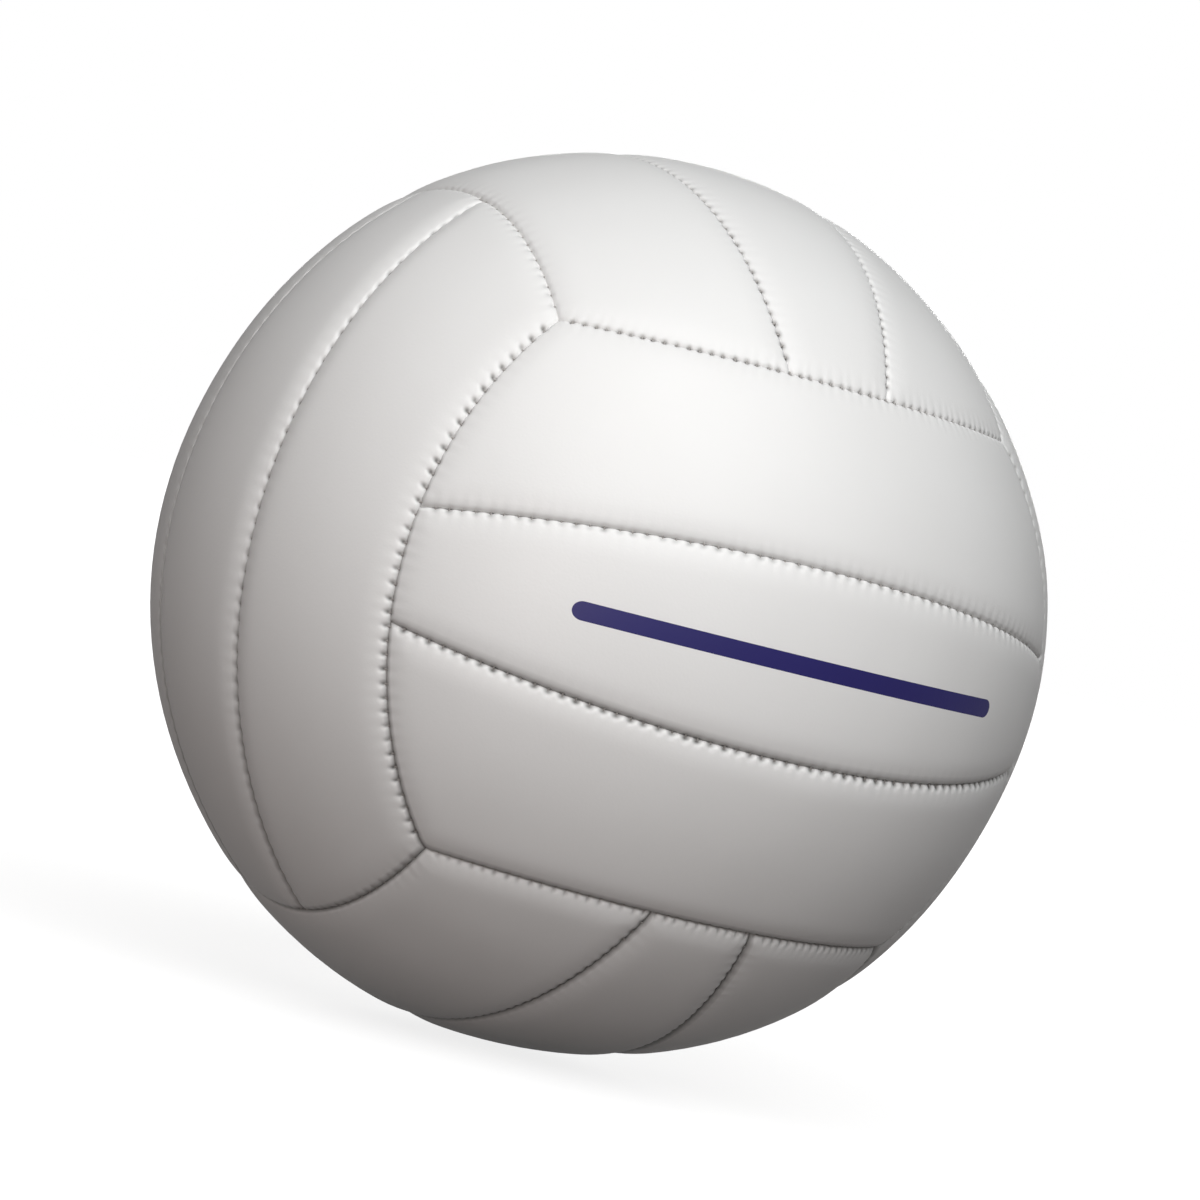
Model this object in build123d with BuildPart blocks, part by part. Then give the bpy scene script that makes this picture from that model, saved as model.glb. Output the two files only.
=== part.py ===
from build123d import *
import os
from math import acos, asin, atan2, cos, degrees, pi, radians, sin, sqrt

# Cover, in millimetres
ball_diameter = 210.0
skin_thickness = 1.3
foam_thickness = 2.7
bend_radius = 0.8  # inside radius where the skin turns in to a seam
bend_crest = 10.0  # degrees left between the top of a panel and its rolled edge
seam_gap = 0.4  # between the turned-in edges of two panels
foam_fit = 0.05  # between a foam backing and its skin
middle_strip_width = 43.6  # at the widest place of a middle strip
end_bow = 16.1  # how far the ends of three strips bow out past a straight cube edge

# Seam thread
thread_diameter = 0.8
thread_sides = 6
thread_fit = 0.05
thread_end_gap = 1.2  # from the end of a thread to the place where seams meet

# Bladder
bladder_wall = 0.8
bladder_fit = 0.1  # between the bladder and the cover

# Valve
valve_sink = 0.4  # from the ball's surface down to the neck
valve_fit = 0.1  # between the neck or barrel and the holes that it passes through
neck_diameter = 9.0
barrel_diameter = 11.0
barrel_length = 16.0  # below the bladder's wall
flange_diameter = 26.0
flange_thickness = 1.0
patch_diameter = 32.0
patch_thickness = 0.5

# Valve core
core_fit = 0.05
core_diameter = 5.0
core_length = 17.0
core_head_diameter = 6.6
core_head_thickness = 1.0
core_bulb_diameter = 6.8
core_bulb_length = 4.0
core_bulb_depth = 9.0  # from the core's top down to its bulb
needle_diameter = 2.2
needle_depth = 12.0

# Radii of the layers
ball_radius = ball_diameter / 2
cover_radius = ball_radius - skin_thickness - foam_thickness
bladder_radius = cover_radius - bladder_fit
edge_roll = bend_radius + skin_thickness

# The seams follow a cube blown up to a sphere. A strip seam lies in a plane through the ball's centre.
# The seam across the ends of three strips is an arc through two cube corners, so the wall below it is a
# cone with its tip at the ball's centre.
strip_angle = degrees(middle_strip_width / 2 / ball_radius)
bow_angle = radians(45) + end_bow / ball_radius
cube_corner = 1 / sqrt(3)
end_tilt = atan2(cos(bow_angle) - cube_corner, sin(bow_angle) - cube_corner)
end_cone = acos((cos(end_tilt) - sin(end_tilt)) * cube_corner)
blank_margin = 8.0  # degrees by which a panel's blank runs past its seams

# A thread rests on the two rolled edges of its seam.
roll_depth = edge_roll * cos(radians(bend_crest))
roll_to_thread = edge_roll + thread_diameter / 2 + thread_fit
thread_path = ball_radius - roll_depth + sqrt(roll_to_thread**2 - (edge_roll + seam_gap / 2) ** 2)

# Places along the valve's axis, from the ball's centre
valve_top = ball_radius - valve_sink
flange_top = bladder_radius + flange_thickness
patch_top = flange_top + valve_fit + patch_thickness
barrel_end = bladder_radius - bladder_wall - barrel_length

# Each face has a plane with x along its strips and z outwards, then the names of the strips at +y and -y
# and of the neighbours at +x and -x.
origin = (0, 0, 0)
faces = {
    "front": (Plane(origin, x_dir=(1, 0, 0), z_dir=(0, -1, 0)), "upper", "lower", "right", "left"),
    "back": (Plane(origin, x_dir=(-1, 0, 0), z_dir=(0, 1, 0)), "upper", "lower", "left", "right"),
    "left": (Plane(origin, x_dir=(0, 0, 1), z_dir=(-1, 0, 0)), "rear", "front", "top", "bottom"),
    "right": (Plane(origin, x_dir=(0, 0, 1), z_dir=(1, 0, 0)), "front", "rear", "top", "bottom"),
    "top": (Plane(origin, x_dir=(0, 1, 0), z_dir=(0, 0, 1)), "left", "right", "back", "front"),
    "bottom": (Plane(origin, x_dir=(0, 1, 0), z_dir=(0, 0, -1)), "right", "left", "back", "front"),
}
valve_strip = "back_middle"
valve_plane = Plane(origin, x_dir=(1, 0, 0), z_dir=(0, 1, 0))


def seam_side(half_angle, wall_inset, top_radius, roll_radius):
    """All inside a seam's cone about z. The skin's outer edge is rolled, and those below it are skived."""
    along = Vector(sin(half_angle), cos(half_angle))
    inwards = Vector(-cos(half_angle), sin(half_angle))
    roll_start = along * (top_radius - roll_radius * cos(radians(bend_crest))) + inwards * wall_inset
    with BuildPart() as side:
        with BuildSketch(Plane.XZ):
            with BuildLine():
                wall = Line((0, wall_inset / sin(half_angle)), roll_start)
                if top_radius == ball_radius:
                    edge = JernArc(roll_start, along, roll_radius, 90)
                else:
                    edge = Line(roll_start, roll_start + (along + inwards) * roll_radius)
                Polyline(edge @ 1, edge @ 1 + along * ball_diameter, (0, 2 * ball_diameter), wall @ 0)
            make_face()
        revolve(axis=Axis.Z)
    return side.part


def strip_block(is_middle, inset, floor_radius):
    """A strip of the cover on the face z, inset on its outer side and its walls from the skin's outside."""
    top_radius = ball_radius - inset
    reach = degrees(bow_angle) + blank_margin
    first_angle = strip_angle + blank_margin if is_middle else 45 + blank_margin
    last_angle = -first_angle if is_middle else strip_angle - blank_margin
    across = cos(radians(strip_angle))
    rise = sin(radians(strip_angle))
    below = (0, 0, -1)
    seams = [((-end * sin(end_tilt), 0, cos(end_tilt)), (-end, 0, 0), end_cone) for end in (1, -1)]
    if is_middle:
        seams += [((0, side * across, rise), below, pi / 2) for side in (1, -1)]
    else:
        seams.append(((0, across, -rise), below, pi / 2))
        seams.append(((0, -cos(end_tilt), sin(end_tilt)), below, pi - end_cone))
    with BuildPart() as block:
        with BuildSketch(Plane.XZ.rotated((-first_angle, 0, 0))):
            with BuildLine():
                top = CenterArc(origin, top_radius, 90 - reach, 2 * reach)
                floor = CenterArc(origin, floor_radius, 90 - reach, 2 * reach)
                Line(top @ 0, floor @ 0)
                Line(top @ 1, floor @ 1)
            make_face()
        revolve(axis=Axis.X, revolution_arc=first_angle - last_angle)
        for axis, away, half_angle in seams:
            kept = seam_side(half_angle, seam_gap / 2 + inset, top_radius, edge_roll - inset)
            with Locations(Plane(origin, x_dir=away, z_dir=axis)):
                add(kept, mode=Mode.INTERSECT)
    return block.part


def strip_skin(is_middle):
    """The skin of a strip: a shallow tray with rolled edges, turned in as deep as the foam."""
    with BuildPart() as skin:
        add(strip_block(is_middle, 0, cover_radius))
        add(strip_block(is_middle, skin_thickness, cover_radius - skin_thickness), mode=Mode.SUBTRACT)
    return skin.part


def seam_thread(axis, middle, half_turn):
    """A thread in the groove between two rolled edges, turned both ways about an axis from its middle."""
    spin = Axis(origin, axis)
    start = Vector(middle).rotate(spin, -half_turn)
    with BuildPart() as thread:
        with BuildSketch(Plane(origin, x_dir=start, z_dir=spin.direction.cross(start))):
            with Locations((thread_path, 0)):
                RegularPolygon(thread_diameter / 2, thread_sides)
        revolve(axis=spin, revolution_arc=2 * half_turn)
    return thread.part


def end_thread(end):
    """The thread across the ends of a face's strips at +x or -x, between two cube corners."""
    half_turn = asin(cube_corner / sin(end_cone)) - thread_end_gap / (thread_path * sin(end_cone))
    axis = (-end * sin(end_tilt), 0, cos(end_tilt))
    return seam_thread(axis, (end * sin(bow_angle), 0, cos(bow_angle)), degrees(half_turn))


def strip_thread(side):
    """The thread between a face's middle strip and the strip at +y or -y, up to the end seams."""
    across = side * sin(radians(strip_angle))
    up = cos(radians(strip_angle))
    lean = atan2(sin(end_tilt), cos(end_tilt) * up)
    half_turn = acos(cos(end_cone) * sin(lean) / sin(end_tilt)) - lean - thread_end_gap / thread_path
    return seam_thread((0, -up, across), (0, across, up), degrees(half_turn))


def disc_profile(outer_radius, inner_radius, diameter):
    """Half the section of a dished disc that fits the ball, about the valve's axis."""
    with BuildSketch(Plane.XY) as profile:
        with BuildLine():
            top = CenterArc(origin, outer_radius, 90, -degrees(asin(diameter / 2 / outer_radius)))
            low = CenterArc(origin, inner_radius, 90, -degrees(asin(diameter / 2 / inner_radius)))
            Line(top @ 0, low @ 0)
            Line(top @ 1, low @ 1)
        make_face()
    return profile.sketch


def core_profile(fit, length):
    """Half the section of the valve core, grown by a fit: a head, a shank and a bulb that holds it."""
    head = core_head_diameter / 2 + fit
    shank = core_diameter / 2 + fit
    bulb = core_bulb_diameter / 2 + fit
    rise = (core_bulb_diameter - core_diameter) / 2
    bulb_top = valve_top - core_bulb_depth
    bulb_end = bulb_top - core_bulb_length
    head_end = valve_top - core_head_thickness - fit
    with BuildSketch(Plane.XY) as profile:
        with BuildLine():
            Polyline(
                (0, valve_top),
                (head, valve_top),
                (head, head_end),
                (shank, head_end),
                (shank, bulb_top),
                (bulb, bulb_top - rise),
                (bulb, bulb_end + rise),
                (shank, bulb_end),
                (shank, valve_top - length),
                (0, valve_top - length),
                close=True,
            )
        make_face()
    return profile.sketch


def valve_circle(diameter, height):
    """A circle about the valve's axis, at a height from the ball's centre."""
    with BuildSketch(valve_plane.offset(height)) as circle:
        Circle(diameter / 2)
    return circle.sketch


os.makedirs("parts", exist_ok=True)


def write(piece, name):
    """Label a finished piece and write it to its file."""
    piece.part.label = name
    export_step(piece.part, f"parts/{name}.step")


# Skins and foam backings: two shapes of each, placed on the six faces
strip_shapes = {
    "panel": (strip_skin(True), strip_skin(False)),
    "foam": (
        strip_block(True, skin_thickness + foam_fit, cover_radius),
        strip_block(False, skin_thickness + foam_fit, cover_radius),
    ),
}
valve_hole = valve_circle(neck_diameter + 2 * valve_fit, bladder_radius)
patch_recess = disc_profile(patch_top + valve_fit, bladder_radius, patch_diameter + 2 * valve_fit)
for face, (plane, plus_side, minus_side, *_) in faces.items():
    turned = Plane(origin, x_dir=-plane.x_dir, z_dir=plane.z_dir)
    for kind, (middle, side) in strip_shapes.items():
        for strip, place, shape in (
            (plus_side, plane, side),
            ("middle", plane, middle),
            (minus_side, turned, side),
        ):
            with BuildPart(place) as layer:
                add(shape)
                if f"{face}_{strip}" == valve_strip:
                    extrude(valve_hole, amount=ball_diameter, mode=Mode.SUBTRACT)
                    if kind == "foam":
                        revolve(patch_recess, axis=Axis.Y, mode=Mode.SUBTRACT)
            write(layer, f"{face}_{strip}_{kind}")

# Threads: one for each seam across the ends of three strips, and a pair for the strip seams of each face
for face, (plane, _, _, plus_end, minus_end) in faces.items():
    for end, sign in ((plus_end, 1), (minus_end, -1)):
        with BuildPart(plane) as end_seam:
            add(end_thread(sign))
        write(end_seam, f"{face}_{end}_seam_thread")
    with BuildPart(plane) as strip_seams:
        for sign in (1, -1):
            add(strip_thread(sign))
    write(strip_seams, f"{face}_strip_seam_threads")

# Bladder
with BuildPart() as bladder:
    Sphere(bladder_radius)
    Sphere(bladder_radius - bladder_wall, mode=Mode.SUBTRACT)
    extrude(valve_circle(barrel_diameter + 2 * valve_fit, 0), amount=ball_diameter, mode=Mode.SUBTRACT)
write(bladder, "bladder")

# Valve housing: a neck through the cover, a flange on the bladder and a barrel inside it
with BuildPart() as valve_housing:
    revolve(disc_profile(flange_top, bladder_radius, flange_diameter), axis=Axis.Y)
    extrude(valve_circle(neck_diameter, bladder_radius), amount=valve_top - bladder_radius)
    extrude(valve_circle(barrel_diameter, barrel_end), amount=bladder_radius - barrel_end)
    revolve(core_profile(core_fit, valve_top - barrel_end), axis=Axis.Y, mode=Mode.SUBTRACT)
write(valve_housing, "valve_housing")

# Valve core, with a blind hole for the pump's needle
with BuildPart() as valve_core:
    revolve(core_profile(0, core_length), axis=Axis.Y)
    extrude(valve_circle(needle_diameter, valve_top), amount=-needle_depth, mode=Mode.SUBTRACT)
write(valve_core, "valve_core")

# Cloth patch between the flange and the foam
with BuildPart() as valve_patch:
    revolve(disc_profile(patch_top, patch_top - patch_thickness, patch_diameter), axis=Axis.Y)
    extrude(valve_hole, amount=ball_diameter, mode=Mode.SUBTRACT)
write(valve_patch, "valve_patch")
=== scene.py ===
import math
import random

import bmesh
import bpy
import numpy as np
from mathutils import Matrix, Vector


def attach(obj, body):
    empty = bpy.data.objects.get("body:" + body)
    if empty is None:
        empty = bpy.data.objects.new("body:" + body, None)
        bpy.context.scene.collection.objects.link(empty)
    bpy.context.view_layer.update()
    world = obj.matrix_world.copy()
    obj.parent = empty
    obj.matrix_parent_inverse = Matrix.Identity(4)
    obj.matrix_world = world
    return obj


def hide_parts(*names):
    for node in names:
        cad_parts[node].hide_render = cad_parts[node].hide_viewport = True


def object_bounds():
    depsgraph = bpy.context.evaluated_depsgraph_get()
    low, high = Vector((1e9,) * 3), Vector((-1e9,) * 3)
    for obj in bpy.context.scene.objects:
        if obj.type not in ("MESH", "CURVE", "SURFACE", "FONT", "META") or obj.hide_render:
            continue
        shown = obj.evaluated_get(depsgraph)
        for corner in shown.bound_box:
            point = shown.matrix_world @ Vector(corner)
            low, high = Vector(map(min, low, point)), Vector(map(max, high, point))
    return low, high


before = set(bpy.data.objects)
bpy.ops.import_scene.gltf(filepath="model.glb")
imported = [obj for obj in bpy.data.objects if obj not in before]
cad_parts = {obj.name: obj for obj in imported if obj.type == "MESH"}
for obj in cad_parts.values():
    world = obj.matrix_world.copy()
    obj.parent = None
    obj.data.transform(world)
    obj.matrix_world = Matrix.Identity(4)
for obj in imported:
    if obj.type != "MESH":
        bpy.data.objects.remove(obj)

cadLow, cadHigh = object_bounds()
ballRadius = (cadHigh.x - cadLow.x) / 2
print("frame loaded, ball radius", round(ballRadius, 4))


# Layout of the cover: six faces of three strips, sewn together along 24 seams

layout = {
    "stripWidth": 0.0436,  # a middle strip at its widest
    "endBow": 0.0161,  # how far three strip ends bow out past a straight cube edge
    "faces": {  # x along the strips, z outwards, strips at +y and -y, neighbours at +x and -x
        "front": ((1, 0, 0), (0, -1, 0), "upper", "lower", "right", "left"),
        "back": ((-1, 0, 0), (0, 1, 0), "upper", "lower", "left", "right"),
        "left": ((0, 0, 1), (-1, 0, 0), "rear", "front", "top", "bottom"),
        "right": ((0, 0, 1), (1, 0, 0), "front", "rear", "top", "bottom"),
        "top": ((0, 1, 0), (0, 0, 1), "left", "right", "back", "front"),
        "bottom": ((0, 1, 0), (0, 0, -1), "right", "left", "back", "front"),
    },
}
cubeCorner = 1 / math.sqrt(3)
stripAngle = layout["stripWidth"] / 2 / ballRadius
bowAngle = math.pi / 4 + layout["endBow"] / ballRadius
endTilt = math.atan2(math.cos(bowAngle) - cubeCorner, math.sin(bowAngle) - cubeCorner)
endCone = math.acos((math.cos(endTilt) - math.sin(endTilt)) * cubeCorner)


def faceAxes(face):
    x, z = (np.array(v, float) for v in layout["faces"][face][:2])
    return np.column_stack((x, np.cross(z, x), z))


def endLimit(across):
    # turn along a strip, from its middle to the seam at its end
    a = np.cos(across) * math.cos(endTilt)
    b = math.sin(endTilt)
    return np.arccos(math.cos(endCone) / np.hypot(a, b)) - np.arctan2(b, a)


def sideLimit(along):
    # turn across a face, from its middle to the seam with its neighbour
    return endTilt + np.arcsin(math.cos(endCone) / np.cos(along))


def direction(along, across):
    flat = np.cos(along)
    return np.column_stack((np.sin(along), flat * np.sin(across), flat * np.cos(across)))


# Seams

stitch = {
    "end": {"pitLength": 0.0004, "pitPlace": 0.0007},  # across three strip ends
    "strip": {"pitLength": 0.00064, "pitPlace": 0.0006},  # between strips
    "jitter": 0.00025,
    "endRoom": 0.0016,  # no stitch this close to a corner
    "pitDepth": 0.00055,  # how far a stitch pulls the edge in
    "pitWidth": 0.0006,  # across the seam, along the roll
    "pullRange": (0.7, 1.15),  # of single stitches, as shares of their seam's pull
    "farPull": 0.3,  # share of the pull in the edge that isn't bitten
    "scallop": 0.00007,  # the edge swells between two stitches
    "scallopReach": 0.004,
    "slant": 0.06,
    "slantRange": 0.1,
    "threadHalf": 0.0009,
    "threadRadius": 0.00025,
    "threadSink": 0.0001,  # below the bottom of the crease
    "threadSides": 6,
    # the end seams and the two strip seams of each face: how far the panels swell, the radius of
    # the rolled edges, the stitches' pitch and pull, and the edge that they bite, which is 1 inside
    # the seam's circle, -1 outside it and 0 for both
    "faces": {
        "front": {
            "end": (1.1, 0.0016, 0.0032, 1.0, -1),
            "plus": (0.95, 0.0015, 0.0032, 0.6, 1),
            "minus": (1.05, 0.0017, 0.0032, 0.95, 1),
        },
        "back": {
            "end": (1.0, 0.0016, 0.0032, 0.9, -1),
            "plus": (1.0, 0.0016, 0.0032, 0.7, 1),
            "minus": (1.0, 0.0016, 0.0032, 0.7, 1),
        },
        "left": {
            "end": (1.05, 0.0016, 0.0032, 0.45, 1),
            "plus": (0.45, 0.001, 0.0037, 0.2, -1),
            "minus": (1.35, 0.0015, 0.0037, 0.8, 0),
        },
        "right": {
            "end": (1.0, 0.0016, 0.0032, 0.8, 1),
            "plus": (1.0, 0.0015, 0.0037, 0.7, -1),
            "minus": (1.0, 0.0015, 0.0037, 0.7, -1),
        },
        "top": {
            "end": (0.8, 0.0013, 0.00265, 0.7, 0),
            "plus": (0.8, 0.0013, 0.0032, 0.65, 0),
            "minus": (0.8, 0.0013, 0.0032, 0.65, 0),
        },
        "bottom": {
            "end": (1.5, 0.0016, 0.0027, 0.6, 1),
            "plus": (1.25, 0.0015, 0.0032, 0.55, 1),
            "minus": (1.25, 0.0015, 0.0032, 0.55, 1),
        },
    },
}


def makeSeam(face, node, kind, look, axis, middle, halfAngle, halfTurn, seed):
    rng = random.Random(seed)
    depth, roll, pitch, pull, biteSide = look
    axes = faceAxes(face)
    axis, middle = axes @ np.array(axis), axes @ np.array(middle)
    level = middle - axis * (middle @ axis)
    level /= np.linalg.norm(level)
    seamRadius = ballRadius * math.sin(halfAngle)
    count = int((2 * halfTurn * seamRadius - 2 * stitch["endRoom"]) / pitch)
    jitter, lean, leanRange = stitch["jitter"], stitch["slant"], stitch["slantRange"]
    return {
        "node": node,
        "axis": axis,
        "middle": middle,
        "level": level,
        "side": np.cross(axis, level),
        "halfAngle": halfAngle,
        "seamRadius": seamRadius,
        **stitch[kind],
        "depth": depth,
        "roll": roll,
        "pitch": pitch,
        "biteSide": biteSide,
        "places": np.array(
            [(i - (count - 1) / 2) * pitch + rng.uniform(-jitter, jitter) for i in range(count)]
        ),
        "pull": np.array([pull * rng.uniform(*stitch["pullRange"]) for i in range(count)]),
        "slant": np.array([lean + rng.uniform(-leanRange, leanRange) for i in range(count)]),
    }


def allSeams():
    seams = []
    endTurn = math.asin(cubeCorner / math.sin(endCone))
    stripTurn = float(endLimit(stripAngle))
    for face, (_, _, _, _, plusEnd, minusEnd) in layout["faces"].items():
        look = stitch["faces"][face]
        for sign, neighbour in ((1, plusEnd), (-1, minusEnd)):
            node = f"{face}_{neighbour}_seam_thread"
            axis = (-sign * math.sin(endTilt), 0, math.cos(endTilt))
            middle = (sign * math.sin(bowAngle), 0, math.cos(bowAngle))
            seams.append(makeSeam(
                face, node, "end", look["end"], axis, middle, endCone, endTurn, len(seams)
            ))
        for sign, strip in ((1, "plus"), (-1, "minus")):
            node = f"{face}_strip_seam_threads"
            axis = (0, -math.cos(stripAngle), sign * math.sin(stripAngle))
            middle = (0, sign * math.sin(stripAngle), math.cos(stripAngle))
            seams.append(makeSeam(
                face, node, "strip", look[strip], axis, middle, math.pi / 2, stripTurn, len(seams)
            ))
    return seams


seams = allSeams()
print("seams", len(seams), "stitches", sum(len(s["places"]) for s in seams))


# Shader groups and materials

def newMaterial(name):
    material = bpy.data.materials.new(name)
    material.use_nodes = True
    return material, material.node_tree.nodes, material.node_tree.links


def addMath(tree, operation, first, second=None):
    node = tree.nodes.new("ShaderNodeMath")
    node.operation = operation
    for socket, value in zip(node.inputs, (first, second)):
        if isinstance(value, bpy.types.NodeSocket):
            tree.links.new(value, socket)
        elif value is not None:
            socket.default_value = value
    return node.outputs[0]


def addMix(tree, factor, first, second):
    node = tree.nodes.new("ShaderNodeMix")
    node.data_type = "RGBA"
    tree.links.new(factor, node.inputs["Factor"])
    for name, value in (("A", first), ("B", second)):
        socket = next(s for s in node.inputs if s.name == name and s.type == "RGBA")
        if isinstance(value, bpy.types.NodeSocket):
            tree.links.new(value, socket)
        else:
            socket.default_value = (*value, 1)
    return next(s for s in node.outputs if s.type == "RGBA")


grainNoise = {"fineDetail": 3, "patchDetail": 4}


def makeGrainGroup():
    # fine pebbled grain, and broad soft patches for handling marks
    tree = bpy.data.node_groups.new("fineGrain", "ShaderNodeTree")
    for way, names in (("INPUT", ("Grain Scale", "Patch Scale")), ("OUTPUT", ("Height", "Patch"))):
        for name in names:
            tree.interface.new_socket(name, in_out=way, socket_type="NodeSocketFloat")
    inside = tree.nodes.new("NodeGroupInput")
    outside = tree.nodes.new("NodeGroupOutput")
    coords = tree.nodes.new("ShaderNodeTexCoord")
    pebble = tree.nodes.new("ShaderNodeTexVoronoi")
    pebble.feature = "SMOOTH_F1"
    fine = tree.nodes.new("ShaderNodeTexNoise")
    fine.inputs["Detail"].default_value = grainNoise["fineDetail"]
    patch = tree.nodes.new("ShaderNodeTexNoise")
    patch.inputs["Detail"].default_value = grainNoise["patchDetail"]
    for node, scale in ((pebble, "Grain Scale"), (fine, "Grain Scale"), (patch, "Patch Scale")):
        tree.links.new(coords.outputs["Object"], node.inputs["Vector"])
        tree.links.new(inside.outputs[scale], node.inputs["Scale"])
    height = addMath(tree, "ADD", pebble.outputs["Distance"], fine.outputs["Fac"])
    tree.links.new(height, outside.inputs["Height"])
    tree.links.new(patch.outputs["Fac"], outside.inputs["Patch"])
    return tree


grainGroup = makeGrainGroup()


def addGrain(tree, grainScale, patchScale):
    group = tree.nodes.new("ShaderNodeGroup")
    group.node_tree = grainGroup
    group.inputs["Grain Scale"].default_value = grainScale
    group.inputs["Patch Scale"].default_value = patchScale
    return group


def addBump(tree, height, strength, distance):
    bump = tree.nodes.new("ShaderNodeBump")
    bump.inputs["Strength"].default_value = strength
    bump.inputs["Distance"].default_value = distance
    tree.links.new(height, bump.inputs["Height"])
    return bump.outputs["Normal"]


leather = {
    "white": (0.83, 0.828, 0.824),
    "handled": (0.79, 0.785, 0.778),  # in broad soft patches
    "patchScale": 28,
    "creaseShade": (0.1, 0.094, 0.088),  # painted shade in the seams and stitch holes
    "roughness": 0.46,
    "grainScale": 1700,
    "grainDepth": 0.000025,
    "grainStrength": 0.5,
}
ink = {
    "navy": (0.008, 0.005, 0.1),
    "thin": (0.013, 0.009, 0.125),  # where the print is thinner
    "place": (0.0, 0.0),  # on the front, to the right and up
    "halfLength": 0.055,
    "halfHeight": 0.0021,
    "corner": 0.0021,
}
plain = {
    "patchScale": 60,
    "grainStrength": 0.6,
    "finishes": {  # colour, darker patches, roughness, grain scale and grain depth
        "backingFoam": ((0.72, 0.7, 0.62), (0.6, 0.58, 0.5), 0.9, 1500, 0.0002),
        # the thread's grey is partly painted shade, so that the threads look dark at the bottom of
        # their holes
        "seamThread": ((0.42, 0.4, 0.38), (0.3, 0.29, 0.28), 0.8, 4000, 0.00005),
        "bladderRubber": ((0.03, 0.03, 0.03), (0.02, 0.02, 0.02), 0.55, 900, 0.00003),
        "valveRubber": ((0.05, 0.05, 0.052), (0.03, 0.03, 0.03), 0.5, 2200, 0.00002),
        "patchCloth": ((0.6, 0.57, 0.5), (0.5, 0.47, 0.42), 0.9, 2500, 0.0001),
    },
}


def addInkBar(tree, colour, patch):
    # a plain bar with round ends, on the front
    coords = tree.nodes.new("ShaderNodeTexCoord")
    split = tree.nodes.new("ShaderNodeSeparateXYZ")
    tree.links.new(coords.outputs["Object"], split.inputs[0])
    squares = []
    sizes = (ink["halfLength"], ink["halfHeight"])
    for axis, place, half in zip("XZ", ink["place"], sizes):
        off = addMath(tree, "ABSOLUTE", addMath(tree, "SUBTRACT", split.outputs[axis], place))
        past = addMath(tree, "SUBTRACT", off, half - ink["corner"])
        past = addMath(tree, "MAXIMUM", past, 0.0)
        squares.append(addMath(tree, "MULTIPLY", past, past))
    reach = addMath(tree, "SQRT", addMath(tree, "ADD", *squares))
    mask = addMath(tree, "LESS_THAN", reach, ink["corner"])
    return addMix(tree, mask, colour, addMix(tree, patch, ink["navy"], ink["thin"]))


def makeLeather(name, printed):
    material, nodes, links = newMaterial(name)
    tree = material.node_tree
    shader = nodes["Principled BSDF"]
    shader.inputs["Roughness"].default_value = leather["roughness"]
    grain = addGrain(tree, leather["grainScale"], leather["patchScale"])
    colour = addMix(tree, grain.outputs["Patch"], leather["white"], leather["handled"])
    if printed:
        colour = addInkBar(tree, colour, grain.outputs["Patch"])
    # painted shade: the creases and stitch holes are darkened in the base colour
    creaseShade = nodes.new("ShaderNodeAttribute")
    creaseShade.attribute_name = "creaseShade"
    colour = addMix(tree, creaseShade.outputs["Fac"], colour, leather["creaseShade"])
    links.new(colour, shader.inputs["Base Color"])
    height = grain.outputs["Height"]
    bump = addBump(tree, height, leather["grainStrength"], leather["grainDepth"])
    links.new(bump, shader.inputs["Normal"])
    return material


def makePlain(name):
    colour, darker, roughness, grainScale, grainDepth = plain["finishes"][name]
    material, nodes, links = newMaterial(name)
    tree = material.node_tree
    shader = nodes["Principled BSDF"]
    shader.inputs["Roughness"].default_value = roughness
    grain = addGrain(tree, grainScale, plain["patchScale"])
    links.new(addMix(tree, grain.outputs["Patch"], colour, darker), shader.inputs["Base Color"])
    bump = addBump(tree, grain.outputs["Height"], plain["grainStrength"], grainDepth)
    links.new(bump, shader.inputs["Normal"])
    return material


coverLeather = makeLeather("coverLeather", False)
printedLeather = makeLeather("printedLeather", True)
backingFoam = makePlain("backingFoam")
seamThread = makePlain("seamThread")
bladderRubber = makePlain("bladderRubber")
valveRubber = makePlain("valveRubber")
patchCloth = makePlain("patchCloth")
print("materials made")


# Panels

panel = {
    "depth": 0.004,  # skin and backing
    "rollStart": 0.74,  # turn of a rolled edge where it meets the next one, from upright
    "gap": 0.00002,  # from an edge to the middle of its seam
    "onSeam": 0.000001,  # nearer than this is on the seam
    "ease": 0.013,  # the roll takes up leather from this far
    "pillow": 0.0009,  # how far a panel swells above its edges
    "pillowReach": 0.0075,
    "pillowPower": 2.3,
    "shadeShare": (0.02, 0.78),  # share of painted shade in a crease, small high up and large low down on the ball
    "shadeHeight": (0.35, -0.55),  # in ball radii
    "shadeReach": 0.0014,
    "shadePower": 0.8,  # how the painted shade fades away from the seam
    "overhang": 0.85,  # painted shade reaches further up an edge that hangs above its seam, less far on the edge below it
    "holeShade": 0.85,  # share of painted shade in a stitch hole
    "holePower": 1.3,
    "cells": {"middle": (46, 11), "side": (42, 12)},
    "bands": (0.013, 0.0085, 0.0055, 0.0036),  # finer cells from here to the edge
    "valveHole": 0.0046,
    "valveRoll": 0.0008,
}
slack = {  # shallow waves in the leather
    "height": 0.00005,
    "count": 5,
    "length": (0.022, 0.05),
    "phase": 6.3,
    "calm": 2.2,  # the sum of the waves is divided by this
}
roundness = {  # a sewn ball isn't a true sphere
    "level": (0.852, -0.462, 0.247),
    "up": (-0.208, 0.135, 0.969),
    "waves": {  # waves in a turn, as shares of the radius
        2: (-0.0055, -0.0014),
        3: (0.0011, -0.0026),
        4: (0.0015, 0.0015),
        5: (0.0016, 0.0005),
        6: (0.003, -0.0009),
    },
}
flatGrid = {  # a panel before it is shaped, from -1 to 1 in x and y
    "outside": 0.5,  # points above this are on the outside
    "outline": 0.9,  # points past this are on the panel's own edge
    "valveZone": 0.6,  # the valve's hole lies within this
}


def middleDirection(u, v):
    across = stripAngle * (2 * v - 1)
    return direction(endLimit(across) * (2 * u - 1), across)


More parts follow.
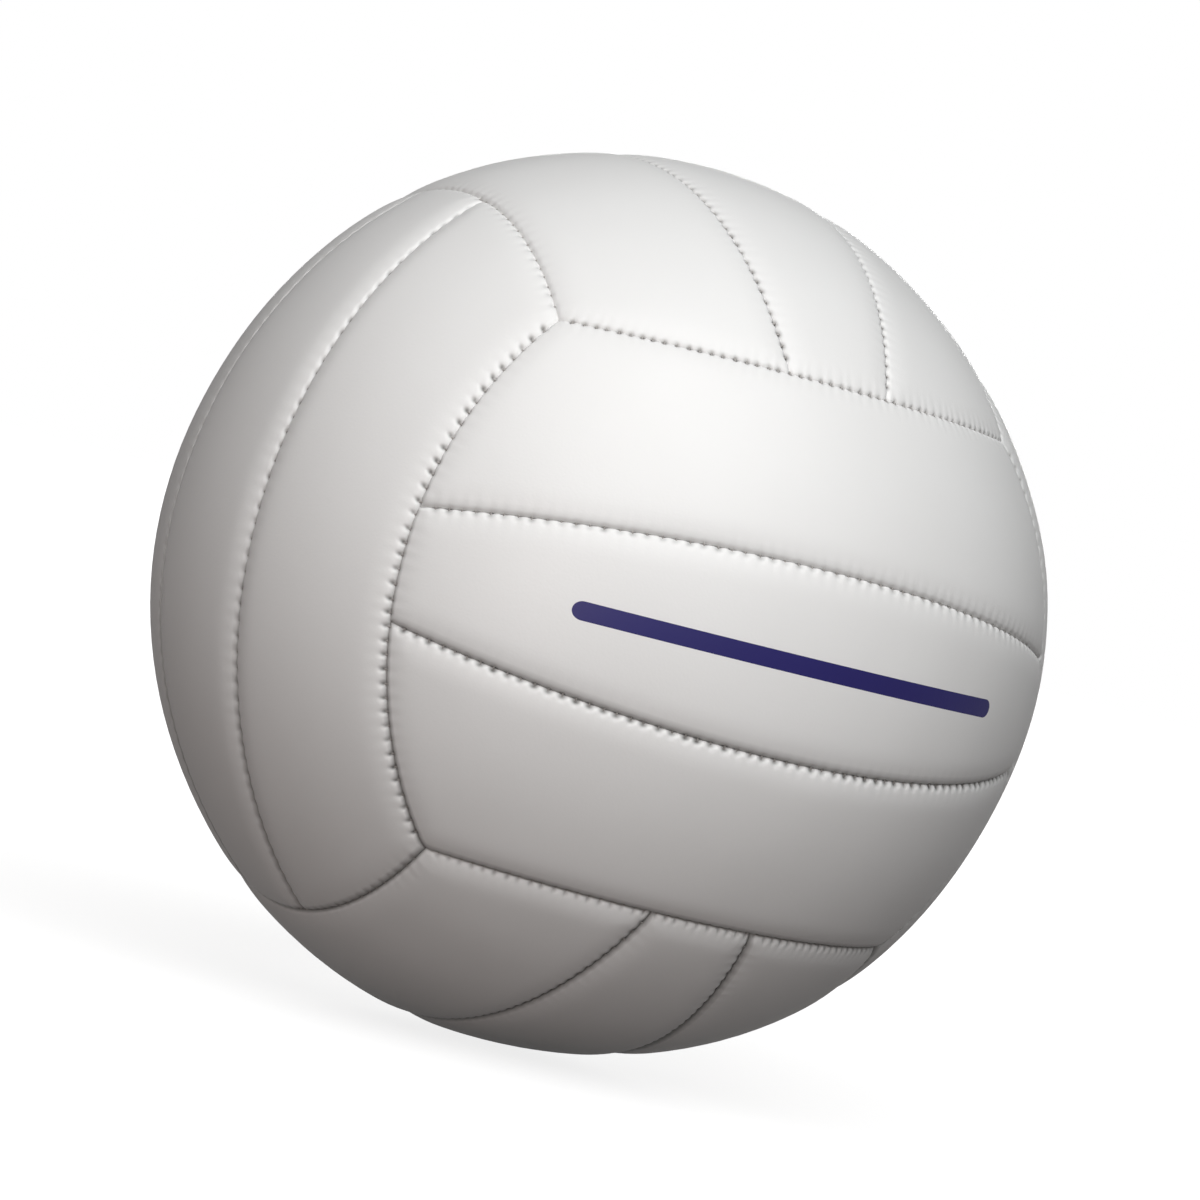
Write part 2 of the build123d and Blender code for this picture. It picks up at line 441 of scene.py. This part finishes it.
def sideDirection(u, v):
    # a patch between the panel's four edges
    lowAlong = (2 * u - 1) * endLimit(stripAngle)
    low = np.stack((lowAlong, np.full_like(u, stripAngle)))
    highAlong = (2 * u - 1) * math.asin(cubeCorner)
    high = np.stack((highAlong, sideLimit(highAlong)))
    edgeAcross = stripAngle + (math.pi / 4 - stripAngle) * v
    end = np.stack((endLimit(edgeAcross), edgeAcross))
    start = np.stack((-end[0], end[1]))
    ends = (1 - u) * start + u * end
    corners = np.stack(((1 - v) * lowAlong + v * highAlong, edgeAcross))
    along, across = (1 - v) * low + v * high + ends - corners
    return direction(along, across)


endMiddles = [(sign * math.sin(bowAngle), 0, math.cos(bowAngle)) for sign in (1, -1)]
stripMiddles = [(0, sign * math.sin(stripAngle), math.cos(stripAngle)) for sign in (1, -1)]
shapes = {
    "middle": {
        "direction": middleDirection,
        "centre": (0, 0, 1),
        "seams": endMiddles + stripMiddles,
    },
    "side": {
        "direction": sideDirection,
        "centre": (0, math.sin(2 * stripAngle), math.cos(2 * stripAngle)),
        "seams": endMiddles + stripMiddles[:1] + [(0, math.cos(bowAngle), math.sin(bowAngle))],
    },
}


def panelSeams(shape, axes):
    # the four seams of a panel, with +1 where the panel lies inside the seam's cone and -1 outside
    found = []
    centre = axes @ np.array(shape["centre"])
    for middle in shape["seams"]:
        seam = max(seams, key=lambda s: s["middle"] @ (axes @ np.array(middle)))
        inside = 1 if np.arccos(centre @ seam["axis"]) < seam["halfAngle"] else -1
        found.append((seam, inside))
    return found


def seamReach(seam, inside, dirs):
    angle = np.arccos(np.clip(dirs @ seam["axis"], -1, 1))
    return np.maximum(inside * (seam["halfAngle"] - angle) * ballRadius, 0)


def valveReach(dirs):
    return np.arccos(np.clip(dirs[:, 2], -1, 1)) * ballRadius - panel["valveHole"]


def gridPlace(points):
    return (points[:, 0] + 1) / 2, (points[:, 1] + 1) / 2


def makePanelMesh(kind, withValve):
    # flat grids for the outside at z 1 and the inside at z 0, with small cells at the edges
    shape = shapes[kind]
    axes = faceAxes("top")
    local = panelSeams(shape, axes)
    xCells, yCells = panel["cells"][kind]
    bm = bmesh.new()
    for level in (1, 0):
        place = Matrix.Translation((0, 0, level))
        bmesh.ops.create_grid(bm, x_segments=xCells, y_segments=yCells, size=1, matrix=place)
    for band in panel["bands"]:
        points = np.array([v.co for v in bm.verts])
        dirs = shape["direction"](*gridPlace(points))
        world = dirs @ axes.T
        edgeReach = np.min([seamReach(seam, inside, world) for seam, inside in local], axis=0)
        holeReach = np.abs(valveReach(dirs)) if withValve else np.full(len(dirs), 1.0)
        bm.verts.index_update()
        chosen = []
        for edge in bm.edges:
            a, b = (vert.index for vert in edge.verts)
            nearHole = max(holeReach[a], holeReach[b]) < band
            if points[a, 2] > flatGrid["outside"]:
                nearEdge = max(edgeReach[a], edgeReach[b]) < band
            else:
                nearEdge = edge.is_boundary
            if nearHole or nearEdge:
                chosen.append(edge)
        bmesh.ops.subdivide_edges(bm, edges=chosen, cuts=1, use_grid_fill=True)
    if withValve:
        cutValveHole(bm)
    rims = [e for e in bm.edges if e.is_boundary]
    outline = [e for e in rims if any(isOutline(v) for v in e.verts)]
    bmesh.ops.bridge_loops(bm, edges=outline)
    if withValve:
        bmesh.ops.bridge_loops(bm, edges=[e for e in rims if e not in set(outline)])
    bmesh.ops.recalc_face_normals(bm, faces=bm.faces)
    for f in bm.faces:
        f.smooth = True
        f.material_index = 1 if all(v.co.z < flatGrid["outside"] for v in f.verts) else 0
    mesh = bpy.data.meshes.new(kind)
    bm.to_mesh(mesh)
    bm.free()
    return mesh


def isOutline(vert):
    return max(map(abs, vert.co[:2])) > flatGrid["outline"]


def cutValveHole(bm):
    def pointDirection(point):
        return middleDirection(*gridPlace(np.array([point[:2]])))

    def inHole(face):
        middle = face.calc_center_median()
        inZone = max(map(abs, middle[:2])) < flatGrid["valveZone"]
        return inZone and valveReach(pointDirection(middle))[0] < 0

    bmesh.ops.delete(bm, geom=[f for f in bm.faces if inHole(f)], context="FACES")
    rim = {v for e in bm.edges if e.is_boundary for v in e.verts if not isOutline(v)}
    turn = panel["valveHole"] / ballRadius
    for v in rim:
        # slide the rim's corners on to the round hole
        d = pointDirection(v.co)[0]
        x, y = d[:2] / np.linalg.norm(d[:2]) * math.sin(turn)
        across = math.atan2(y, math.cos(turn))
        v.co.x = math.asin(x) / float(endLimit(across))
        v.co.y = across / stripAngle


def rollProfile(reach, radius):
    # reach is measured along the leather: gives the roll's turn, its drop and the slide to the seam
    start = panel["rollStart"]
    turn = np.clip(start + reach / radius, start, math.pi / 2)
    length = radius * (math.pi / 2 - start)
    width = radius * math.cos(start)
    ease = np.clip(1 - (reach - length) / (panel["ease"] - length), 0, 1)
    onRoll = width - radius * np.cos(turn) - reach
    slide = np.where(reach < length, onRoll, (width - length) * ease)
    return turn, radius * (1 - np.sin(turn)), slide


def stitchPull(seam, inside, reach, dirs):
    # how far the stitches pull the edge in, and how far it swells between them
    turn = np.arctan2(dirs @ seam["side"], dirs @ seam["level"])
    along = turn * seam["seamRadius"]
    last = len(seam["places"]) - 1
    nearest = np.clip(np.rint(along / seam["pitch"] + last / 2), 0, last).astype(int)
    off = along - seam["places"][nearest] - seam["slant"][nearest] * inside * reach
    bite = 1 if seam["biteSide"] in (0, inside) else stitch["farPull"]
    place = seam["pitPlace"] if seam["biteSide"] == inside else 0
    away = np.hypot(off / seam["pitLength"], (reach - place) / stitch["pitWidth"])
    hole = bite * seam["pull"][nearest] * np.exp(-0.5 * away**2)
    swell = 0.5 - 0.5 * np.cos(2 * math.pi * off / seam["pitch"])
    swell *= stitch["scallop"] * np.exp(-((reach / stitch["scallopReach"]) ** 2))
    return hole, swell


def outOfRound(dirs):
    # low waves round an axis, strongest at its equator
    spot = dirs @ np.array(roundness["level"]) + 1j * (dirs @ np.array(roundness["up"]))
    return 1 + sum(((a - 1j * b) * spot**k).real for k, (a, b) in roundness["waves"].items())


def leatherWave(points, seed):
    rng = random.Random(seed)
    wave = np.zeros(len(points))
    for i in range(slack["count"]):
        way = np.array([rng.gauss(0, 1) for c in range(3)])
        way *= 2 * math.pi / rng.uniform(*slack["length"]) / np.linalg.norm(way)
        wave += np.sin(points @ way + rng.uniform(0, slack["phase"])) / slack["calm"]
    return wave * slack["height"]


def panelEdges(shape, axes, local, withValve):
    # reach from each edge, the way inwards, radius of the roll, swell, stitch holes and scallops
    dirs = local @ axes.T
    edges = []
    for seam, inside in panelSeams(shape, axes):
        angle = np.arccos(np.clip(dirs @ seam["axis"], -1, 1))
        away = (dirs * np.cos(angle)[:, None] - seam["axis"]) / np.sin(angle)[:, None]
        reach = seamReach(seam, inside, dirs)
        hole, swell = stitchPull(seam, inside, reach, dirs)
        edges.append((reach, -inside * away, seam["roll"], seam["depth"], hole, swell))
    if withValve:
        away = local.copy()
        away[:, 2] = 0
        away /= np.maximum(np.linalg.norm(away, axis=1), 1e-9)[:, None]
        reach = np.maximum(valveReach(local), 0)
        none = np.zeros(len(local))
        edges.append((reach, away @ axes.T, panel["valveRoll"], 0, none, none))
    return edges


def shapePanel(mesh, kind, axes, seed, withValve):
    shape = shapes[kind]
    points = np.empty(len(mesh.vertices) * 3, np.float32)
    mesh.vertices.foreach_get("co", points)
    points = points.reshape(-1, 3).astype(float)
    outside = points[:, 2] > flatGrid["outside"]
    local = shape["direction"](*gridPlace(points))
    dirs = local @ axes.T
    drop, rise, pillow, creaseShade = np.zeros((4, len(dirs)))
    slide = np.zeros_like(dirs)
    backSlide = np.zeros_like(dirs)
    # painted shade in the creases, small high up and large low down on the ball
    shadeShare = np.interp(-dirs[:, 2], [-h for h in panel["shadeHeight"]], panel["shadeShare"])
    for reach, inwards, radius, depth, hole, swell in panelEdges(shape, axes, local, withValve):
        turn, fall, move = rollProfile(reach, radius)
        pull = stitch["pitDepth"] * hole - swell
        drop += fall**2
        rise -= pull * np.sin(turn)
        near = np.clip(1 - reach / panel["pillowReach"], 0, 1)
        pillow += (depth * near ** panel["pillowPower"]) ** 2
        gap = panel["gap"] * np.clip(1 - reach / panel["ease"], 0, 1)
        slide += inwards * (move + pull * np.cos(turn) + gap)[:, None]
        backSlide += inwards * (panel["gap"] * (reach < panel["onSeam"]))[:, None]
        # painted shade reaches further on an edge that hangs above its seam, and darkens the stitch
        # holes
        shadeReach = panel["shadeReach"] * (1 + panel["overhang"] * inwards[:, 2])
        deep = shadeShare * np.clip(1 - reach / shadeReach, 0, 1) ** panel["shadePower"]
        dark = panel["holeShade"] * np.clip(hole, 0, 1) ** panel["holePower"]
        creaseShade = np.maximum(creaseShade, np.maximum(deep, dark))
    pillow = np.sqrt(pillow)
    height = ballRadius - np.sqrt(drop) + rise - panel["pillow"] * pillow
    height += leatherWave(dirs * ballRadius, seed) * np.clip(1 - pillow, 0, 1)
    height *= outOfRound(dirs)
    front = dirs * height[:, None] + slide
    back = dirs * (ballRadius - panel["depth"]) + backSlide
    placed = np.where(outside[:, None], front, back)
    mesh.vertices.foreach_set("co", placed.astype(np.float32).ravel())
    # the painted shade of the creases and stitch holes, read by the leather's base colour
    layer = mesh.attributes.new("creaseShade", "FLOAT", "POINT")
    layer.data.foreach_set("value", np.where(outside, creaseShade, 0).astype(np.float32))
    mesh.update()


def addPiece(name, mesh, materials, nodes):
    piece = bpy.data.objects.new(name, mesh)
    bpy.context.scene.collection.objects.link(piece)
    for material in materials:
        mesh.materials.append(material)
    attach(piece, "root")
    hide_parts(*nodes)
    return piece


def makePanels():
    flat = {
        "middle": makePanelMesh("middle", False),
        "side": makePanelMesh("side", False),
        "valve": makePanelMesh("middle", True),
    }
    for face, (_, _, plusSide, minusSide, _, _) in layout["faces"].items():
        axes = faceAxes(face)
        turned = axes * np.array((-1, -1, 1))
        for strip, kind, frameAxes in (
            (plusSide, "side", axes), ("middle", "middle", axes), (minusSide, "side", turned)
        ):
            name = f"{face}_{strip}"
            withValve = name == "back_middle"
            mesh = flat["valve" if withValve else kind].copy()
            shapePanel(mesh, kind, frameAxes, name, withValve)
            skin = printedLeather if name == "front_middle" else coverLeather
            nodes = (f"{name}_panel", f"{name}_foam")
            piece = addPiece(f"{name}_cover", mesh, (skin, backingFoam), nodes)
    for mesh in flat.values():
        bpy.data.meshes.remove(mesh)


makePanels()
print("panels made")


# Stitches: short threads across each seam, at the bottom of their holes

def creaseDrop(seam):
    return panel["pillow"] * seam["depth"] + seam["roll"] * (1 - math.sin(panel["rollStart"]))


def addStitch(bm, seam, place, slant):
    turn = place / seam["seamRadius"]
    out = math.cos(turn) * seam["level"] + math.sin(turn) * seam["side"]
    radial = math.sin(seam["halfAngle"]) * out + math.cos(seam["halfAngle"]) * seam["axis"]
    along = np.cross(seam["axis"], out)
    across = np.cross(along, radial)
    reach = across + slant * along
    reach /= np.linalg.norm(reach)
    columns = [
        reach * stitch["threadHalf"],
        np.cross(radial, reach) * stitch["threadRadius"],
        radial * stitch["threadRadius"],
        radial * (ballRadius * outOfRound(radial) - creaseDrop(seam) - stitch["threadSink"]),
    ]
    matrix = Matrix([[*row] for row in np.column_stack(columns)] + [[0, 0, 0, 1]])
    sides = stitch["threadSides"]
    bmesh.ops.create_uvsphere(bm, u_segments=sides, v_segments=sides, radius=1, matrix=matrix)


def makeStitches():
    for node in sorted({s["node"] for s in seams}):
        bm = bmesh.new()
        for seam in (s for s in seams if s["node"] == node):
            for place, slant in zip(seam["places"], seam["slant"]):
                addStitch(bm, seam, place, slant)
        bmesh.ops.recalc_face_normals(bm, faces=bm.faces)
        for f in bm.faces:
            f.smooth = True
        mesh = bpy.data.meshes.new(node)
        bm.to_mesh(mesh)
        bm.free()
        name = node.rstrip("s").replace("thread", "stitches")
        addPiece(name, mesh, (seamThread,), (node,))


makeStitches()
print("stitches made")


# Bladder and valve keep their CAD solids

carried = {
    "bladder": bladderRubber,
    "valve_housing": valveRubber,
    "valve_core": valveRubber,
    "valve_patch": patchCloth,
}
for name, material in carried.items():
    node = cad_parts[name]
    node.data.materials.clear()
    node.data.materials.append(material)
print("carried nodes painted")


# Floor, light and camera

studio = {
    "toCamera": (-0.4811734, -0.87641846, 0.01904857),
    "imageUp": (-0.20793573, 0.13521676, 0.96875134),
    "distance": 12.5,  # in ball radii
    "lens": 167.985,
    "shift": (0.002, 0.00425),
    "farthest": 50,  # what the camera sees, in metres
    "ambient": (0.02, 0.0155, 0.0145),
    "mirrored": 0.3,  # share of the white surroundings that gloss shows
    "lamps": {  # place to the right, up and towards the camera in ball radii, size, watts, colour
        "topLamp": ((3.5, 7.6, 8.6), 1.5, 18.5, (0.98, 0.998, 1.0)),
        "frontLamp": ((-4.0, 1.2, 13.3), 0.35, 3.65, (1.0, 0.89, 0.85)),
        "backLamp": ((0.6, 0.3, -12.0), 0.6, 12.5, (1.0, 0.99, 0.98)),
    },
}
ground = {
    "radius": 8,
    "sides": 96,
    "drop": 0.0002,  # below the ball
    "white": (0.9, 0.9, 0.9),
    "grey": (0.12, 0.108, 0.104),  # what the floor gives back to the ball
    "roughness": 0.9,
    "glow": 1.2,
    "shadow": 0.32,  # share of the floor that is lit by the lamps, near the ball
    "shadowReach": (0.15, 0.7),
}
toCamera = Vector(studio["toCamera"]).normalized()
imageUp = Vector(studio["imageUp"]).normalized()
imageRight = imageUp.cross(toCamera)


def inImage(right, up, near):
    return (imageRight * right + imageUp * up + toCamera * near) * ballRadius


def addSeenShare(tree):
    # the white surroundings show to the camera, and in part to gloss
    path = tree.nodes.new("ShaderNodeLightPath")
    camera = path.outputs["Is Camera Ray"]
    mirrored = addMath(tree, "MULTIPLY", path.outputs["Is Glossy Ray"], studio["mirrored"])
    return camera, addMath(tree, "MAXIMUM", camera, mirrored)


def makeFloorWhite():
    material, nodes, links = newMaterial("floorWhite")
    tree = material.node_tree
    camera, seen = addSeenShare(tree)
    shader = nodes["Principled BSDF"]
    shader.inputs["Roughness"].default_value = ground["roughness"]
    colour = addMix(tree, camera, ground["grey"], ground["white"])
    links.new(colour, shader.inputs["Base Color"])
    white = nodes.new("ShaderNodeEmission")
    white.inputs["Strength"].default_value = ground["glow"]
    # the lamps light the floor near the ball, so that its shadow shows there
    coords = nodes.new("ShaderNodeTexCoord")
    away = nodes.new("ShaderNodeVectorMath")
    away.operation = "LENGTH"
    links.new(coords.outputs["Object"], away.inputs[0])
    fade = nodes.new("ShaderNodeMapRange")
    fade.interpolation_type = "SMOOTHSTEP"
    links.new(away.outputs["Value"], fade.inputs["Value"])
    limits = (*ground["shadowReach"], 1 - ground["shadow"], 1)
    for name, limit in zip(("From Min", "From Max", "To Min", "To Max"), limits):
        fade.inputs[name].default_value = limit
    mix = nodes.new("ShaderNodeMixShader")
    links.new(addMath(tree, "MULTIPLY", seen, fade.outputs["Result"]), mix.inputs[0])
    links.new(shader.outputs[0], mix.inputs[1])
    links.new(white.outputs[0], mix.inputs[2])
    links.new(mix.outputs[0], nodes["Material Output"].inputs["Surface"])
    return material


def makeFloor():
    bm = bmesh.new()
    place = Matrix.Translation((0, 0, -ballRadius - ground["drop"]))
    bmesh.ops.create_circle(
        bm, cap_ends=True, segments=ground["sides"], radius=ground["radius"], matrix=place
    )
    mesh = bpy.data.meshes.new("floor")
    bm.to_mesh(mesh)
    bm.free()
    floor = bpy.data.objects.new("floor", mesh)
    bpy.context.scene.collection.objects.link(floor)
    mesh.materials.append(makeFloorWhite())


def makeWorld():
    world = bpy.data.worlds.new("studioWorld")
    bpy.context.scene.world = world
    world.use_nodes = True
    tree = world.node_tree
    seen = addSeenShare(tree)[1]
    colour = addMix(tree, seen, studio["ambient"], (1, 1, 1))
    tree.links.new(colour, tree.nodes["Background"].inputs["Color"])


def makeLamps():
    for name, (place, size, watts, colour) in studio["lamps"].items():
        lamp = bpy.data.lights.new(name, "AREA")
        lamp.shape = "DISK"
        lamp.size = size
        lamp.energy = watts
        lamp.color = colour
        holder = bpy.data.objects.new(name, lamp)
        holder.location = inImage(*place)
        holder.rotation_euler = holder.location.to_track_quat("Z", "Y").to_euler()
        bpy.context.scene.collection.objects.link(holder)


def makeCamera():
    camera = bpy.data.cameras.new("photoCamera")
    camera.lens = studio["lens"]
    camera.shift_x, camera.shift_y = studio["shift"]
    camera.clip_end = studio["farthest"]
    holder = bpy.data.objects.new("photoCamera", camera)
    turn = Matrix((imageRight, imageUp, toCamera)).transposed().to_4x4()
    holder.matrix_world = Matrix.Translation(toCamera * studio["distance"] * ballRadius) @ turn
    bpy.context.scene.collection.objects.link(holder)
    bpy.context.scene.camera = holder


makeFloor()
makeWorld()
makeLamps()
makeCamera()
bpy.context.scene.view_settings.view_transform = "Standard"
print("studio made")
